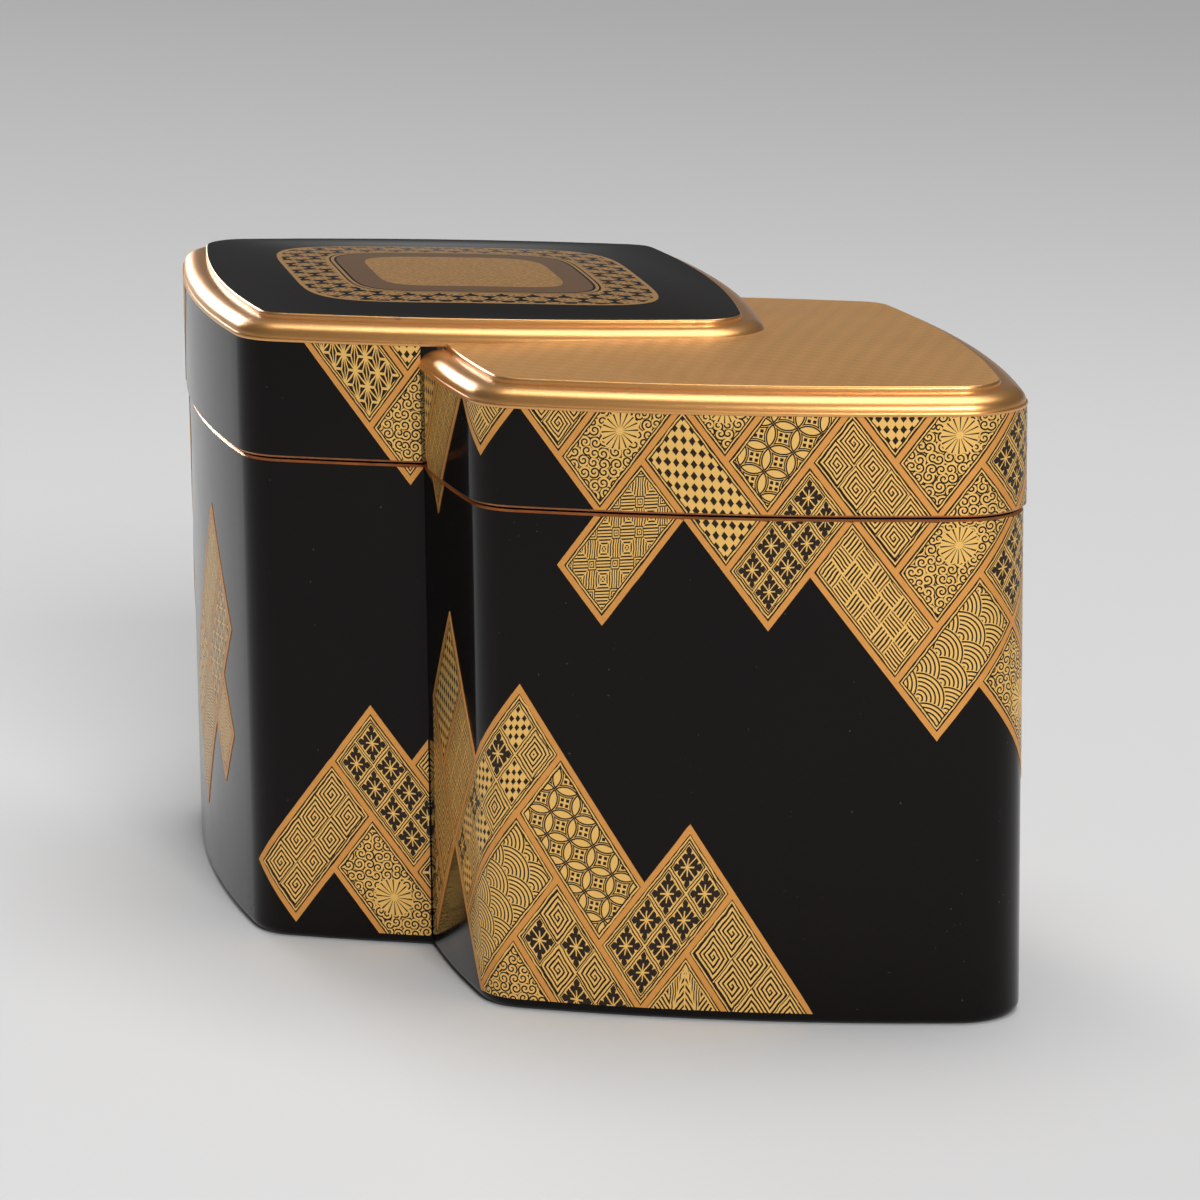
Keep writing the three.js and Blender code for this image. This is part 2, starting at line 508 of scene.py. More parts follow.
def burnished_gold():
    """Burnished gold powder: fine grain, a slight orange-peel, and warm lacquer where it has thinned."""
    material, tree, shader, place = new_finish("burnished_gold")
    grain = noise(tree, place, scale=7.0, detail=4, roughness=0.7)
    worn = noise(tree, place, scale=0.22, detail=5, roughness=0.65).more(WEAR_LEVEL)
    wear = worn * noise(tree, place, scale=2.2, detail=3, roughness=0.7)
    grain_show = 0.8
    wear_show = 0.7
    colour = mix(tree, grain * grain_show, GOLD_BRIGHT, GOLD_DEEP)
    tree.links.new(mix(tree, wear * wear_show, colour, GOLD_WORN), shader.inputs["Base Color"])
    shader.inputs["Metallic"].default_value = 0.9
    shader.inputs["Coat Weight"].default_value = 0.5
    shader.inputs["Coat Roughness"].default_value = 0.2
    grain_dulling = 0.18
    gloss = 0.25
    tree.links.new((grain * grain_dulling + gloss).value, shader.inputs["Roughness"])
    peel = noise(tree, place, scale=0.5, detail=2)
    peel_depth = 1.5
    bump(tree, shader, grain + peel * peel_depth, 0.012 * MM)
    return material


rim_gold = burnished_gold()
RIMS = (("low_rim", LOW_SHOULDER, False), ("tall_rim", TALL_SHOULDER, True))
for name, shoulder, turned in RIMS:
    rim = draw_up(name, rim_levels(shoulder, turned))
    smooth(rim)
    finish(rim, rim_gold)

# The two top panels.
# Slightly domed boards of lacquered wood, raised a hair above the rims. The low one is gold all over,
# engraved like plaited straw, and the tall one is black with a gold medallion.
PANEL_FOOT_SINK = 0.3 * MM
PANEL_EDGE_RISE = 0.65 * MM
PANEL_EDGE_ROUND = 0.3 * MM
PANEL_DOME = 0.86 * MM
DOME_STEPS = 12
EDGE_STEPS = 4
EDGE_TILT = 0.85


def shrunk(ring, share):
    """A ring drawn in towards its middle by a share of the way."""
    centre = sum(ring, Vector((0, 0))) / len(ring)
    return [p.lerp(centre, share) for p in ring]


def panel_levels(shoulder, turned):
    """A board's edge from the quirk up, then rings that close towards its middle."""
    quirk = shoulder + BEAD_HEIGHT + MOULDING_RISE
    edge = LID_OVERHANG - MOULDING_WIDTH - QUIRK_WIDTH
    top = quirk + PANEL_EDGE_RISE
    levels = [(lozenge_ring(edge, turned), quirk - PANEL_FOOT_SINK)]
    for step in range(EDGE_STEPS + 1):
        angle = math.pi / 2 * step / EDGE_STEPS
        grow = edge - PANEL_EDGE_ROUND * (1 - math.cos(angle))
        levels.append((lozenge_ring(grow, turned), top - PANEL_EDGE_ROUND * (1 - math.sin(angle))))
    rim = levels[-1][0]
    for step in range(1, DOME_STEPS):
        share = step / DOME_STEPS
        levels.append((shrunk(rim, share), top + PANEL_DOME * (1 - (1 - share) ** 2)))
    return levels


def dome(panel, top, centre):
    """Swells the panel's board evenly, like a cushion."""
    half = LOZENGE_SIDE / 2 + CORNER_RADIUS + LID_OVERHANG - MOULDING_WIDTH - QUIRK_WIDTH
    for vertex in panel.data.vertices:
        if vertex.co.z > top - NEAR:
            along, slant = lozenge_axes(vertex.co.xy - centre)
            swell = (1 - (along / half) ** 2) * (1 - (slant / half) ** 2)
            vertex.co.z = top + PANEL_DOME * max(swell, 0)


def lozenge_axes(point):
    """A place in steps along the lozenge's two pairs of sides."""
    slant = point.y / math.sin(ACUTE_ANGLE)
    return point.x + slant * math.cos(ACUTE_ANGLE), slant


def board_axes(tree, place, centre):
    """The same for a shader, in millimetres from the middle of the board."""
    axes = tree.nodes.new("ShaderNodeSeparateXYZ")
    tree.links.new(place, axes.inputs[0])
    slant = (Field(tree, axes.outputs[1]) - centre.y / MM) * (1 / math.sin(ACUTE_ANGLE))
    along = Field(tree, axes.outputs[0]) - centre.x / MM + slant * math.cos(ACUTE_ANGLE)
    return along, slant


BOARD_LIGHT = (0.82, 0.44, 0.15)
BOARD_SHADE = (0.44, 0.215, 0.07)
WEAVE_BLOCK = 1.6
WEAVE_LINES = 5
GROOVE_SHARE = 0.38
MEDALLION_BULGE = 5.2
MEDALLION_GOLD = (0.80, 0.46, 0.18)
MEDALLION_SHADE = (0.50, 0.26, 0.09)
RING_BROWN = (0.20, 0.115, 0.062)
RING_DARK = (0.145, 0.08, 0.045)
# Each line of the medallion: how far out it runs and how wide it is, in millimetres.
RINGS = ((21.3, 0.55), (15.6, 0.42), (14.98, 0.36))
BAND_EDGES = (15.8, 21.1)
BROWN_EDGES = (11.2, 14.5)
BLOSSOM_PITCH = 3.4
BLOSSOM_STRETCH = 1.1
BLOSSOM_REACH = 0.415
BLOSSOM_LOBE = 0.04
VEIN_LEVEL = 0.82
VEIN_ENDS = (0.14, 0.36)


def chequer(across, down):
    """One on every second square of a chequer, nought on the others."""
    return ((across.whole() + down.whole()) * 0.5).part().more(0.25)


def distance(x, y):
    return (x * x + y * y).root()


def fine_weave_gold():
    """Soft gold engraved with blocks of hairlines like plaited straw. The blocks catch the light in
    turn, and every second block is painted darker as painted shade for it.
    """
    material, tree, shader, place = new_finish("fine_weave_gold")
    along, slant = board_axes(tree, place, LOW_CENTRE)
    across = along * (1 / WEAVE_BLOCK) + slant * (0.5 / WEAVE_BLOCK)
    down = slant * (1 / WEAVE_BLOCK) - along * (0.25 / WEAVE_BLOCK)
    turned = chequer(across, down)
    lines = (across * WEAVE_LINES).part() * turned + (down * WEAVE_LINES).part() * turned.flip()
    groove = lines.less(GROOVE_SHARE)
    grain = noise(tree, place, scale=6.0, detail=4, roughness=0.7)
    cloud = noise(tree, place, scale=0.12, detail=3)
    groove_show = 0.5
    turned_painted_shade = 0.15
    grain_show = 0.25
    cloud_show = 0.3
    lift = 0.1
    # Every second block of hairlines is painted a little darker: painted shade for the light that its
    # turned lines catch less.
    shade = groove * groove_show + turned * turned_painted_shade + grain * grain_show + cloud * cloud_show
    share = (shade - lift).low(1.0).high(0.0)
    tree.links.new(mix(tree, share, BOARD_LIGHT, BOARD_SHADE), shader.inputs["Base Color"])
    shader.inputs["Metallic"].default_value = 0.5
    grain_dulling = 0.15
    turned_dulling = 0.08
    gloss = 0.26
    dullness = grain * grain_dulling + turned * turned_dulling + gloss
    tree.links.new(dullness.value, shader.inputs["Roughness"])
    grain_depth = 0.3
    bump(tree, shader, groove.flip() + grain * grain_depth, 0.025 * MM)
    return material


def medallion_lacquer():
    """Black board with a medallion in its own shape: a line, a band of linked blossoms, two lines,
    a brown-gold ring, and a gold field of fine diaper."""
    material, tree, shader, place = new_finish("medallion_lacquer")
    along, slant = board_axes(tree, place, -LOW_CENTRE)
    reach = along.size().math("POWER", MEDALLION_BULGE) + slant.size().math("POWER", MEDALLION_BULGE)
    reach = reach.math("POWER", 1 / MEDALLION_BULGE)

    def ring(middle, width):
        return (reach - middle).size().less(width / 2)

    def between(inner, outer):
        return reach.more(inner) * reach.less(outer)

    outer_ring, middle_ring, inner_ring = (ring(*sizes) for sizes in RINGS)
    lines = outer_ring.high(middle_ring).high(inner_ring)
    row_height = 3**0.5

    def nearest(shift):
        x = (along * (1 / (BLOSSOM_PITCH * BLOSSOM_STRETCH)) + shift).part() - 0.5
        y = (slant * (BLOSSOM_STRETCH / (BLOSSOM_PITCH * row_height)) + shift).part() - 0.5
        return x * x + y * y * 3, x, y

    one, x1, y1 = nearest(0)
    two, x2, y2 = nearest(0.5)
    first = one.less(two)
    x = x1 * first + x2 * first.flip()
    y = (y1 * first + y2 * first.flip()) * row_height
    radius = distance(x, y)
    angle = y.math("ARCTAN2", x)
    lobe = (angle * 6).math("COSINE")
    blossom = radius.less(lobe * BLOSSOM_LOBE + BLOSSOM_REACH)
    veins = lobe.more(VEIN_LEVEL) * radius.more(VEIN_ENDS[0]) * radius.less(VEIN_ENDS[1])
    band = between(*BAND_EDGES) * blossom * veins.flip()
    field = reach.less(BROWN_EDGES[0])
    flat = between(*BROWN_EDGES)
    grain = noise(tree, place, scale=8.0, detail=4, roughness=0.7)
    fine_along = 7.0
    fine_slant = 4.0
    fine = ((along * fine_along).sine() * (slant * fine_slant).sine()).more(0.0)
    fleck = (noise(tree, place, scale=2.4, detail=3, roughness=0.75) - 0.5) * field
    grain_show = 0.6
    fine_show = 0.3
    fleck_show = 4.0
    shade = grain * grain_show + field * fine * fine_show + fleck * fleck_show
    gold = mix(tree, shade.high(0.0).low(1.0), MEDALLION_GOLD, MEDALLION_SHADE)
    brown = mix(tree, grain, RING_BROWN, RING_DARK)
    clouds = noise(tree, place, scale=CLOUD_SCALE, detail=3)
    black = mix(tree, clouds, LACQUER_BLACK, LACQUER_WARM)
    shown = lines.high(band).high(field)
    tree.links.new(mix(tree, shown, mix(tree, flat, black, brown), gold), shader.inputs["Base Color"])
    gold_metal = 0.75
    brown_metal = 0.3
    tree.links.new((shown * gold_metal + flat * brown_metal).value, shader.inputs["Metallic"])
    gold_dulling = 0.24
    brown_dulling = 0.2
    grain_dulling = 0.08
    gloss = 0.08
    dullness = shown * gold_dulling + flat * brown_dulling + grain * grain_dulling + gloss
    tree.links.new(dullness.value, shader.inputs["Roughness"])
    shader.inputs["Specular IOR Level"].default_value = LACQUER_REFLECTION
    brown_height = 0.5
    fine_height = 0.3
    bump(tree, shader, shown + flat * brown_height + field * fine * fine_height, 0.03 * MM)
    return material


PANELS = (
    ("low_panel", LOW_SHOULDER, False, fine_weave_gold(), "gold_lacquer"),
    ("tall_panel", TALL_SHOULDER, True, medallion_lacquer(), "black_lacquer"),
)
for name, shoulder, turned, material, slot in PANELS:
    panel = draw_up(name, panel_levels(shoulder, turned))
    top = shoulder + BEAD_HEIGHT + MOULDING_RISE + PANEL_EDGE_RISE
    dome(panel, top, -LOW_CENTRE if turned else LOW_CENTRE)
    smooth(panel)
    finish(panel, material)
    repaint(panel, rim_gold, lambda c, n: n.z < EDGE_TILT)

# The gold patches on the walls.
# Gold powder sprinkled on wet lacquer. Each wall is laid out flat on slanting lines about 8 mm apart.
# Patches fill the cells between the lines, gold bands run along their edges, and each has its diaper.
LINE_SLOPE = 53
STEEP_SLOPE = 57.5
BAND_WIDTH = 0.68 * MM
FRAME_WIDTH = 0.5 * MM
GOLD_LAYER = 0.06 * MM
GOLD_THICKNESS = 0.1 * MM
PATCH_FOOT = 1.3 * MM
COLUMN_WIDTH = 1.2 * MM
CREASE_GAP = 0.1 * MM
LINE_PLACES = 6
DIAPERS = [
    "bands",
    "fret",
    "lozenges",
    "flowers",
    "basket",
    "waves",
    "circles",
    "squares",
    "scrolls",
    "hemp",
    "hatch",
    "mixed",
    "paired",
]
# Each sheet: its end runs, where its lines start, their spacing, the slopes of the lines that run up and
# down, and its patches. A patch is a diaper, its first column and how many, its first row and how many.
SHEETS = {
    "upper_front": (
        (-22.0, 80.0),
        (40.2, -2.0, 7.8),
        (LINE_SLOPE, -LINE_SLOPE),
        [
            ("basket", -2.6, 3, -7, 1),
            ("lozenges", -2.6, 3, -9, 2),
            ("basket", 0, 1, -6, 1),
            ("fret", 1, 1, -5, 1),
            ("scrolls", 1, 2, -4, 1),
            ("waves", 2, 1, -5, 1),
            ("squares", 0, 2, -3, 1),
            ("lozenges", 2, 1, -3, 2),
            ("scrolls", 3, 1, -3, 1),
            ("circles", 3, 2, -2, 1),
            ("flowers", 2, 2, -1, 1),
            ("fret", 4, 1, -1, 2),
            ("lozenges", 5, 1, -1, 1),
            ("scrolls", 5, 2, 0, 1),
            ("basket", 3, 1, 0, 2),
            ("scrolls", 4, 2, 1, 1),
            ("waves", 3, 2, 2, 1),
            ("flowers", 6, 2, 1, 1),
            ("flowers", 5, 2, 2, 1),
            ("basket", 7, 2, 2, 1),
            ("scrolls", 4, 1, 3, 2),
            ("fret", 5, 2, 3, 1),
        ],
    ),
    "lower_front": (
        (-22.0, 38.5),
        (-1.3, 5.55, 8.85),
        (LINE_SLOPE, -STEEP_SLOPE),
        [
            ("lozenges", 0, 1.63, -5, 1),
            ("basket", 0, 1.63, -4, 1),
            ("fret", -1, 1, -5, 2),
            ("flowers", -2, 1, -4, 1),
            ("mixed", 0, 3, -3, 1),
            ("circles", 2, 1, -2, 2),
            ("waves", 0, 2, -2, 1),
            ("paired", 1, 1, -1, 2),
            ("scrolls", 0, 1, -1, 2),
            ("flowers", 2, 2, 0, 1),
            ("fret", 3, 1, 1, 2),
            ("hatch", 2, 1, 1, 1),
            ("waves", 1, 1, 1, 1),
        ],
    ),
    "lower_side": (
        (80.0, 141.7),
        (104.3, 92.9, 8.2),
        (LINE_SLOPE, -LINE_SLOPE),
        [
            ("circles", -3, 2, -5, 1),
            ("basket", -1, 2, -5, 1),
            ("squares", -3, 2, -4, 1),
            ("hemp", -1, 2, -4, 1),
            ("waves", -1, 1, -3, 1),
            ("flowers", 2, 1, 0, 2),
            ("fret", 0, 2, 0, 1),
            ("scrolls", 1, 1, 1, 2),
            ("basket", 3, 1, 1, 1),
            ("hemp", 2, 1, 2, 1),
            ("lozenges", 3, 1, 2, 1),
        ],
    ),
    "upper_back": (
        (120.0, 141.7),
        (150.8, 72.2, 7.8),
        (LINE_SLOPE, -LINE_SLOPE),
        [
            ("hemp", 0, 1, -2, 2),
            ("lozenges", 1, 1, -1, 1),
            ("scrolls", 0, 3, 0, 1),
        ],
    ),
}


def cut(along, place):
    """Cuts the selected sheet along a straight line through a place."""
    bpy.ops.mesh.select_all(action="SELECT")
    bpy.ops.mesh.bisect(plane_co=(*place, 0), plane_no=(-along.y, along.x, 0))


def lay_sheet(name, ends, lines, slopes, patches):
    """A flat sheet, run by height, cut into the patches and bands of one stretch of wall."""
    first_column, first_row, pitch = (value * MM for value in lines)
    start = max(ends[0] * MM, LEFT_CREASE + CREASE_GAP)
    end = min(ends[1] * MM, BACK_CREASE - CREASE_GAP)
    steps = math.ceil((end - start) / COLUMN_WIDTH)
    bpy.ops.object.select_all(action="DESELECT")
    bpy.ops.mesh.primitive_grid_add(x_subdivisions=steps, y_subdivisions=1, size=1)
    sheet = bpy.context.object
    sheet.name = name
    for diaper in DIAPERS:
        sheet.data.materials.append(bpy.data.materials.get(diaper) or bpy.data.materials.new(diaper))
    for vertex in sheet.data.vertices:
        vertex.co.x = start + (vertex.co.x + 0.5) * (end - start)
        vertex.co.y = PATCH_FOOT + (vertex.co.y + 0.5) * (TALL_SHOULDER - PATCH_FOOT)
    up, down = (direction(math.radians(slope)) for slope in slopes)
    skew = down.cross(up)
    half = BAND_WIDTH / 2
    spans = []
    for diaper, column, columns, row, rows in patches:
        left = first_column + pitch * column
        near = first_row + pitch * row
        right = left + pitch * columns
        far = near + pitch * rows
        spans.append((diaper, left, right, near, far, round(columns), rows))
    sides = (-half, half)
    column_edges = [edge + side for span in spans for edge in span[1:3] for side in sides]
    row_edges = [edge + side for span in spans for edge in span[3:5] for side in sides]
    bpy.ops.object.mode_set(mode="EDIT")
    for line in sorted({round(edge, LINE_PLACES) for edge in column_edges}):
        cut(down, up * line)
    for line in sorted({round(edge, LINE_PLACES) for edge in row_edges}):
        cut(up, down * line)
    for height in (SEAM_HEIGHT - RIM_ROUND, LID_FOOT + RIM_ROUND, LOW_SHOULDER):
        cut(Vector((1, 0)), Vector((0, height)))
    shape = bmesh.from_edit_mesh(sheet.data)
    cell = shape.loops.layers.uv.new("Cell")
    reach = shape.loops.layers.uv.new("Reach")
    flat = shape.loops.layers.uv.new("Wall")
    spare = []
    for face in shape.faces:
        centre = face.calc_center_median()
        a = down.cross(centre.xy) / skew
        b = centre.xy.cross(up) / skew
        home = None
        for span in spans:
            if span[1] - half < a < span[2] + half and span[3] - half < b < span[4] + half:
                home = home or ("bands", span)
                if span[1] + half < a < span[2] - half and span[3] + half < b < span[4] - half:
                    home = (span[0], span)
                    break
        if home is None or SEAM_HEIGHT - RIM_ROUND < centre.y < LID_FOOT + RIM_ROUND:
            spare.append(face)
            continue
        diaper, (_, left, right, near, far, columns, rows) = home
        face.material_index = DIAPERS.index(diaper)
        for loop in face.loops:
            a = down.cross(loop.vert.co.xy) / skew
            b = loop.vert.co.xy.cross(up) / skew
            margin = half + FRAME_WIDTH
            u = (a - left - margin) / (right - left - 2 * margin) * columns
            v = (b - near - margin) / (far - near - 2 * margin) * rows
            loop[cell].uv = (u, v)
            loop[reach].uv = (columns - u, rows - v)
            loop[flat].uv = loop.vert.co.xy / MM
    bmesh.ops.delete(shape, geom=spare, context="FACES")
    bmesh.update_edit_mesh(sheet.data)
    bpy.ops.object.mode_set(mode="OBJECT")
    return sheet


def wrap(sheet, turned):
    """A copy of a flat sheet bent round a lozenge's wall, split at the seam into body and lid."""
    mesh = sheet.data.copy()
    shape = bmesh.new()
    shape.from_mesh(mesh)
    if not turned:
        over = [f for f in shape.faces if f.calc_center_median().y > LOW_SHOULDER]
        bmesh.ops.delete(shape, geom=over, context="FACES")
    on_lid = shape.faces.layers.int.new("on_lid")
    for face in shape.faces:
        face[on_lid] = face.calc_center_median().y > SEAM_HEIGHT
    for vertex in shape.verts:
        run, height = vertex.co.x, vertex.co.y
        proud = GOLD_LAYER + (LID_OVERHANG if height > (SEAM_HEIGHT + LID_FOOT) / 2 else 0)
        point = wall_point(run, proud)[0] * (-1 if turned else 1)
        vertex.co = (point.x, point.y, height)
    shape.to_mesh(mesh)
    shape.free()
    piece = bpy.data.objects.new(sheet.name, mesh)
    bpy.context.scene.collection.objects.link(piece)
    return piece


def only(pieces):
    """Selects these pieces and nothing else."""
    bpy.ops.object.select_all(action="DESELECT")
    for piece in pieces:
        piece.select_set(True)
    bpy.context.view_layer.objects.active = pieces[0]


sheets = [lay_sheet(name, *sheet) for name, sheet in SHEETS.items()]
wrapped = [wrap(sheet, turned) for sheet in sheets for turned in (False, True)]
for sheet in sheets:
    bpy.data.objects.remove(sheet)
only(wrapped)
bpy.ops.object.join()
gold = bpy.context.object
bpy.ops.object.mode_set(mode="EDIT")
bpy.ops.mesh.select_mode(type="FACE")
bpy.ops.mesh.select_all(action="DESELECT")
shape = bmesh.from_edit_mesh(gold.data)
on_lid = shape.faces.layers.int["on_lid"]
for face in shape.faces:
    face.select = bool(face[on_lid])
bmesh.update_edit_mesh(gold.data)
bpy.ops.mesh.separate(type="SELECTED")
bpy.ops.object.mode_set(mode="OBJECT")
patches = {}
for half_box in bpy.context.selected_objects[:]:
    part = "body" if half_box == gold else "lid"
    only([half_box])
    solidify = half_box.modifiers.new("Thickness", "SOLIDIFY")
    solidify.thickness = GOLD_THICKNESS
    solidify.offset = -1
    bpy.ops.object.modifier_apply(modifier=solidify.name)
    bpy.ops.mesh.separate(type="MATERIAL")
    for piece in bpy.context.selected_objects[:]:
        diaper = piece.data.materials[piece.data.polygons[0].material_index].name
        piece.name = f"{part}_{diaper}"
        piece.data.name = piece.name
        patches[part, diaper] = piece

GOLD_LIGHT = (1.0, 0.66, 0.21)
GOLD_SHADE = (0.92, 0.49, 0.11)
GOLD_THIN = (0.38, 0.17, 0.05)
INK = (0.020, 0.010, 0.005)
BAND_LIGHT = (0.96, 0.45, 0.11)
BAND_SHADE = (0.72, 0.31, 0.06)
RED_UNDERCOAT = (0.22, 0.045, 0.018)
HAND_WANDER = 0.045
HAND_WANDER_SCALE = 0.75
OUTER_LINE = -0.049
INNER_LINE = -0.024


class Wall:
    """Where a point lies on a patch: in cells from its corner, and in millimetres on the wall."""

    def __init__(self, tree, place):
        self.tree = tree
        wobble = (noise(tree, place, scale=HAND_WANDER_SCALE, detail=2) - 0.5) * HAND_WANDER
        self.u, self.v = [value + wobble for value in self.read("Cell")]
        self.far_u, self.far_v = [value + wobble for value in self.read("Reach")]
        self.run, self.height = self.read("Wall")

    def read(self, layer):
        node = self.tree.nodes.new("ShaderNodeUVMap")
        node.uv_map = layer
        axes = self.tree.nodes.new("ShaderNodeSeparateXYZ")
        self.tree.links.new(node.outputs[0], axes.inputs[0])
        return Field(self.tree, axes.outputs[0]), Field(self.tree, axes.outputs[1])

    def small(self, count):
        """Position in each of count small lozenges along a cell, from -0.5 to 0.5."""
        return (self.u * count).part() - 0.5, (self.v * count).part() - 0.5

    def edge(self):
        return self.u.low(self.v).low(self.far_u.low(self.far_v))


def fret(wall):
    """Lozenge-shaped spirals of straight lines."""
    turn = 1 / 8
    phase = 1.2
    ink = 0.45
    x, y = wall.small(2)
    right, top = x.math("SIGN"), y.math("SIGN")
    sideways = x.size().more((y - right * (turn / 4)).size())
    across = x.size() + right * (turn / 4) - turn / 2
    along = y.size() - top * (turn / 4) - turn / 4
    return ((along + sideways * (across - along)) / turn + phase).part().less(ink)


def upright(wall, count):
    """Position in squares that stand on the cell's corners, from -0.5 to 0.5."""
    x = ((wall.u + wall.v) * count + 0.5).part() - 0.5
    y = ((wall.u - wall.v) * count + 0.5).part() - 0.5
    return x, y


def lozenges(wall, count=4):
    """Upright rows of small black lozenges."""
    reach = 0.40
    x, y = upright(wall, count)
    return (x.size() + y.size()).less(reach)


def flowers(wall):
    """Black eight-lobed flowers with eight gold rays, in a gold net."""
    petal_reach = 0.41
    notch_place = 0.2
    notch_depth = 0.09
    notch_slope = 1.8
    petal_step = 0.03
    ray = 0.021
    slant_ray = 0.023
    slant_reach = 0.25
    eye = 0.06
    net_place = 0.452
    net_line = 0.019
    x, y = wall.small(2)
    box = x.size().high(y.size())
    aside = x.size().low(y.size())
    radius = distance(x, y)
    notch = ((aside - notch_place).size() * -notch_slope + notch_depth).high(0.0)
    petals = (box + notch + aside.less(notch_place) * petal_step).less(petal_reach)
    slant = (x.size() - y.size()).size() * 0.7
    straight_rays = aside.less(ray)
    slant_rays = slant.less(slant_ray) * radius.less(slant_reach)
    rays = straight_rays.high(slant_rays).high(radius.less(eye))
    net = (box - net_place).size().less(net_line)
    return (petals * rays.flip()).high(net)


def basket(wall):
    """Blocks of parallel lines that turn from block to block."""
    lines = 5
    ink = 0.45
    block = 0.46
    x, y = wall.small(3)
    turned = chequer(wall.u * 3, wall.v * 3)
    drawn = (x * lines).part().less(ink) * turned + (y * lines).part().less(ink) * turned.flip()
    return drawn * x.size().high(y.size()).less(block)


def waves(wall):
    """Overlapping fans of arcs, their crests up to the right."""
    fan = 3.1
    crest = math.radians(35)
    arcs = 6.5
    phase = 0.1
    ink = 0.38
    along = (wall.run * math.cos(crest) + wall.height * math.sin(crest)) * (2 / fan)
    aside = (wall.run * math.sin(crest) - wall.height * math.cos(crest)) * (0.5 / fan)
    row = along.whole()
    odd = (row * 0.5).part() * 2

    def ring(shift, step):
        offset = (aside + shift * 0.5).part() - 0.5
        lift = (along - row + step) * 0.5
        return (offset * offset * 4 + lift * lift).root()

    first, second, third = ring(odd + 1, 1), ring(odd, 0), ring(odd + 1, -1)
    inner = second * second.less(1) + third * second.less(1).flip()
    spread = first * first.less(1) + inner * first.less(1).flip()
    return (spread * arcs + phase).part().less(ink)


def circles(wall):
    """Overlapping circles: plain gold petals round dark four-pointed stars."""
    tilt = math.radians(11)
    pitch = 2.75
    outline_place = 0.675
    outline_ink = 0.03
    inner_place = 0.755
    inner_ink = 0.024
    star_inner = 0.81
    star_gap = 0.045
    star_reach = 0.18
    x = (wall.run * math.cos(tilt) - wall.height * math.sin(tilt)) * (1 / pitch)
    y = (wall.run * math.sin(tilt) + wall.height * math.cos(tilt)) * (1 / pitch)
    x, y = (x.part() - 0.5).size(), (y.part() - 0.5).size()
    beside = distance(x.flip(), y)
    above = distance(y.flip(), x)
    near = beside.low(above)
    outline = (near - outline_place).size().less(outline_ink)
    inner = (near - inner_place).size().less(inner_ink)
    star = near.more(star_inner) * x.low(y).more(star_gap) * x.high(y).less(star_reach)
    return outline.high(inner).high(star)


def squares(wall):
    """Upright squares, their quarters filled with lines that meet on the diagonals."""
    ray_lines = 9
    ray_phase = 0.3
    ray_ink = 0.46
    diagonal = 0.025
    heart_lines = 12
    heart_phase = 0.1
    heart_ink = 0.45
    heart_reach = 0.2
    x, y = upright(wall, 1.5)
    box = x.size().high(y.size())
    aside = x.size().low(y.size())
    rays = (aside * ray_lines + ray_phase).part().less(ray_ink) * (box - aside).more(diagonal)
    heart = (box * heart_lines + heart_phase).part().less(heart_ink)
    return rays * box.more(heart_reach) + heart * box.less(heart_reach)


def scrolls(wall):
    """Curling tendrils round a full chrysanthemum in the middle of the patch."""
    turns_per_mm = 2.3
    tendril_ink = 0.43
    tendril_eye = 0.08
    flower_scale = 3.4
    flower_reach = 1.95
    flower_lobe = 0.22
    flower_gap = 0.16
    petal_ink = 0.39
    flower_eye = 0.45
    tree = wall.tree
    place = tree.nodes.new("ShaderNodeCombineXYZ")
    tree.links.new(wall.run.value, place.inputs[0])
    tree.links.new(wall.height.value, place.inputs[1])
    curl = tree.nodes.new("ShaderNodeTexVoronoi")
    curl.voronoi_dimensions = "2D"
    curl.inputs["Scale"].default_value = 0.86
    curl.inputs["Randomness"].default_value = 0.55
    tree.links.new(place.outputs[0], curl.inputs["Vector"])
    middle = tree.nodes.new("ShaderNodeSeparateXYZ")
    tree.links.new(curl.outputs["Position"], middle.inputs[0])
    x = wall.run - Field(tree, middle.outputs[0])
    y = wall.height - Field(tree, middle.outputs[1])
    tint = tree.nodes.new("ShaderNodeSeparateXYZ")
    tree.links.new(curl.outputs["Color"], tint.inputs[0])
    start = Field(tree, tint.outputs[0])
    hand = (start - 0.5).math("SIGN")
    reach = distance(x, y)
    turn = y.math("ARCTAN2", x) * hand * (1 / math.tau)
    spiral = (reach * turns_per_mm - turn + start * 3).part()
    tendril = spiral.less(tendril_ink) * reach.more(tendril_eye)
    half_u = (wall.u - wall.far_u) * flower_scale
    half_v = (wall.v - wall.far_v) * flower_scale
    x = (half_u + half_v) * math.cos(math.radians(LINE_SLOPE))
    y = (half_u - half_v) * math.sin(math.radians(LINE_SLOPE))
    reach = distance(x, y)
    angle = y.math("ARCTAN2", x) * (8 / math.pi)
    crown = (angle * math.pi).math("COSINE").size() * flower_lobe + flower_reach
    petals = (angle.part() - 0.5).size().more(petal_ink) * reach.more(flower_eye)
    halo = reach.less(crown + flower_gap)
    return tendril * halo.flip() + petals * reach.less(crown)


def thirds(x, y):
    """Smallest and middle share of a point among the corners of its triangle."""
    over = (x + y).more(1)
    p = x + over * (x * -2 + 1)
    q = y + over * (y * -2 + 1)
    r = (p + q).flip()
    least = p.low(q).low(r)
    most = p.high(q).high(r)
    return least, (least + most).flip()


def hemp(wall):
    """Six-pointed hemp leaves in thin gold lines on black."""
    vein = 0.09
    outline = 0.045
    least, middle = thirds((wall.u * 3).part(), (wall.v * 3).part())
    return ((middle - least).less(vein)).high(least.less(outline)).flip()


def hatch(wall):
    """The hemp leaf again, its facets filled with fine lines."""
    lines = 15
    phase = 0.2
    ink = 0.46
    vein = 0.04
    outline = 0.02
    least, middle = thirds(wall.u.part(), wall.v.part())
    drawn = (middle * lines + phase).part().less(ink)
    return drawn * (middle - least).more(vein) * least.more(outline)


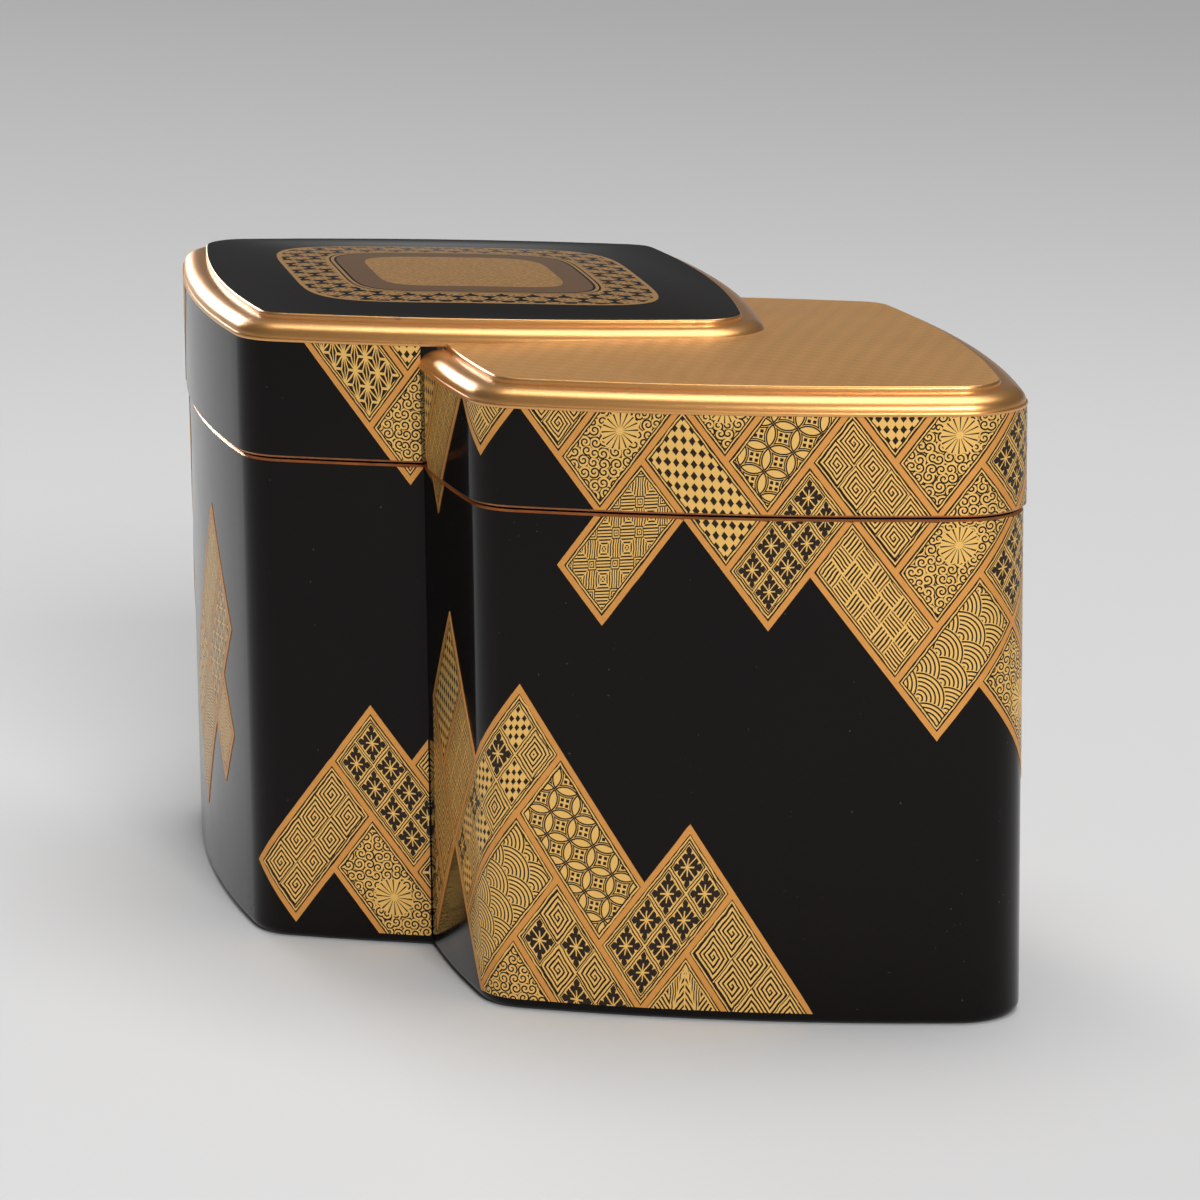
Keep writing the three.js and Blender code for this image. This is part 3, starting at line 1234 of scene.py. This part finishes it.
def mixed(wall):
    """A chequer of small cells: lozenges in turn with a flower or a nested box."""
    frame_place = 0.455
    frame_line = 0.018
    frame_inside = 0.43
    boxes = 9
    phase = 0.2
    ink = 0.45
    rows = chequer(wall.u * 2, wall.v * 2)
    down = (wall.v * 2).whole()
    boxed = rows.flip() * down.more(0.5)
    flowered = rows.flip() * down.less(0.5)
    x, y = wall.small(2)
    box = x.size().high(y.size())
    frame_mark = (box - frame_place).size().less(frame_line)
    nest = (box * boxes + phase).part().less(ink)
    drawn = lozenges(wall, count=6) * rows + flowers(wall) * flowered + nest * boxed
    return (drawn * box.less(frame_inside)).high(frame_mark)


def paired(wall):
    """Flowers and fret in turn."""
    tile = chequer(wall.u * 2, wall.v * 2)
    return flowers(wall) * tile.flip() + fret(wall) * tile


def patch_gold(name, diaper):
    """Gold powder with a diaper drawn on it in black, inside a fine double line."""
    material, tree, shader, place = new_finish("gold_" + name)
    wall = Wall(tree, place)
    edge = wall.edge()
    outer_line = edge.less(OUTER_LINE)
    inner_line = edge.less(0) * edge.more(INNER_LINE)
    inside = edge.more(0)
    dark = (diaper(wall) * inside + outer_line + inner_line).low(1.0)
    grain = noise(tree, place, scale=8.0, detail=4, roughness=0.7)
    thin = noise(tree, place, scale=0.9, detail=4, roughness=0.7)
    grain_show = 0.75
    thin_show = 0.16
    colour = mix(tree, grain * grain_show, GOLD_LIGHT, GOLD_SHADE)
    colour = mix(tree, thin * thin_show, colour, GOLD_THIN)
    tree.links.new(mix(tree, dark, colour, INK), shader.inputs["Base Color"])
    metal = 0.6
    tree.links.new((dark * -metal + metal).value, shader.inputs["Metallic"])
    grain_dulling = 0.22
    gold_gloss = 0.3
    ink_gloss = 0.15
    dullness = grain * grain_dulling + gold_gloss - dark * ink_gloss
    tree.links.new(dullness.value, shader.inputs["Roughness"])
    shader.inputs["Specular IOR Level"].default_value = 0.25
    grain_depth = 0.3
    bump(tree, shader, dark.flip() + grain * grain_depth, 0.035 * MM)
    return material


def band_gold():
    """The plain bands: coarser powder, redder where the undercoat shows through."""
    material, tree, shader, place = new_finish("gold_bands")
    grain = noise(tree, place, scale=5.0, detail=5, roughness=0.75)
    thin = noise(tree, place, scale=1.4, detail=4, roughness=0.7)
    thin_show = 0.28
    colour = mix(tree, grain, BAND_LIGHT, BAND_SHADE)
    tree.links.new(mix(tree, thin * thin_show, colour, RED_UNDERCOAT), shader.inputs["Base Color"])
    shader.inputs["Metallic"].default_value = 0.6
    grain_dulling = 0.2
    gloss = 0.34
    tree.links.new((grain * grain_dulling + gloss).value, shader.inputs["Roughness"])
    bump(tree, shader, grain, 0.012 * MM)
    return material


drawings = (fret, lozenges, flowers, basket, waves, circles)
drawings += (squares, scrolls, hemp, hatch, mixed, paired)
finishes = {drawing.__name__: patch_gold(drawing.__name__, drawing) for drawing in drawings}
finishes["bands"] = band_gold()
for (part, diaper), piece in patches.items():
    smooth(piece, degrees=30)
    finish(piece, finishes[diaper])

# The studio.
# A pale floor that melts into a pale backdrop far away, a large soft light above, a window light behind
# on the left, and a soft fill from the front.
FLOOR_SIZE = 24.0
SWEEP_START = 300
SWEEP_DEPTH = 840
SWEEP_PALE = 0.35
FLOOR_GREY = (0.64, 0.64, 0.64)
FLOOR_PALE = (0.67, 0.67, 0.67)
FLOOR_FAR = (0.0, 0.0, 0.0)
bpy.ops.object.select_all(action="DESELECT")
bpy.ops.mesh.primitive_plane_add(size=FLOOR_SIZE)
floor = bpy.context.object
floor.name = "floor"
floor_finish, tree, shader, place = new_finish("pale_floor")
axes = tree.nodes.new("ShaderNodeSeparateXYZ")
tree.links.new(place, axes.inputs[0])
across, deep = Field(tree, axes.outputs[0]), Field(tree, axes.outputs[1])
sweep = ((distance(across, deep) - SWEEP_START) / SWEEP_DEPTH).high(0.0).low(1.0)
grey = mix(tree, noise(tree, place, scale=0.004, detail=2), FLOOR_GREY, FLOOR_PALE)
tree.links.new(mix(tree, sweep, grey, FLOOR_FAR), shader.inputs["Base Color"])
shader.inputs["Roughness"].default_value = 0.8
shader.inputs["Specular IOR Level"].default_value = 0.2
shader.inputs["Emission Color"].default_value = (1.0, 1.0, 1.0, 1.0)
tree.links.new((sweep * SWEEP_PALE).value, shader.inputs["Emission Strength"])
floor.data.materials.append(floor_finish)

STUDIO_PALE = (0.37, 0.37, 0.37)
STUDIO_DARK = (0.085, 0.085, 0.085)
HAZE_TOP = 0.04
HAZE_DEPTH = 0.075
world = bpy.data.worlds.new("studio")
bpy.context.scene.world = world
world.use_nodes = True
tree = world.node_tree
background = tree.nodes["Background"]
where = tree.nodes.new("ShaderNodeTexCoord")
axes = tree.nodes.new("ShaderNodeSeparateXYZ")
tree.links.new(where.outputs["Generated"], axes.inputs[0])
height = Field(tree, axes.outputs[2])
above = ((height - HAZE_TOP) / HAZE_DEPTH).high(0.0).low(1.0)
sky = mix(tree, above, STUDIO_PALE, STUDIO_DARK)
tree.links.new(sky, background.inputs[0])


def soft_light(name, place, aim, size, power):
    data = bpy.data.lights.new(name, "AREA")
    data.shape = "RECTANGLE"
    data.size, data.size_y = size
    data.energy = power
    light = bpy.data.objects.new(name, data)
    light.location = place
    light.rotation_euler = (Vector(aim) - Vector(place)).to_track_quat("-Z", "Y").to_euler()
    bpy.context.scene.collection.objects.link(light)


soft_light("overhead", place=(0.1, 0.12, 1.3), aim=(0.05, 0.05, 0), size=(1.1, 0.9), power=12.2)
soft_light("left_window", place=(-1.0, 1.35, 0.50), aim=(0, 0, 0.07), size=(0.54, 0.45), power=9)
soft_light("front_fill", place=(0.52, -1.3, 0.82), aim=(0, 0, 0.04), size=(0.5, 0.4), power=17)

camera_data = bpy.data.cameras.new("camera")
camera_data.sensor_width = 36
camera_data.lens = 155.9
camera_data.clip_start = 0.05
camera_data.clip_end = 20
camera = bpy.data.objects.new("camera", camera_data)
camera.location = (95.4 * MM, -602.4 * MM, 178.8 * MM)
camera.rotation_euler = (math.radians(77.03), math.radians(0.58), math.radians(8.643))
bpy.context.scene.collection.objects.link(camera)
bpy.context.scene.camera = camera
bpy.context.scene.view_settings.view_transform = "Standard"
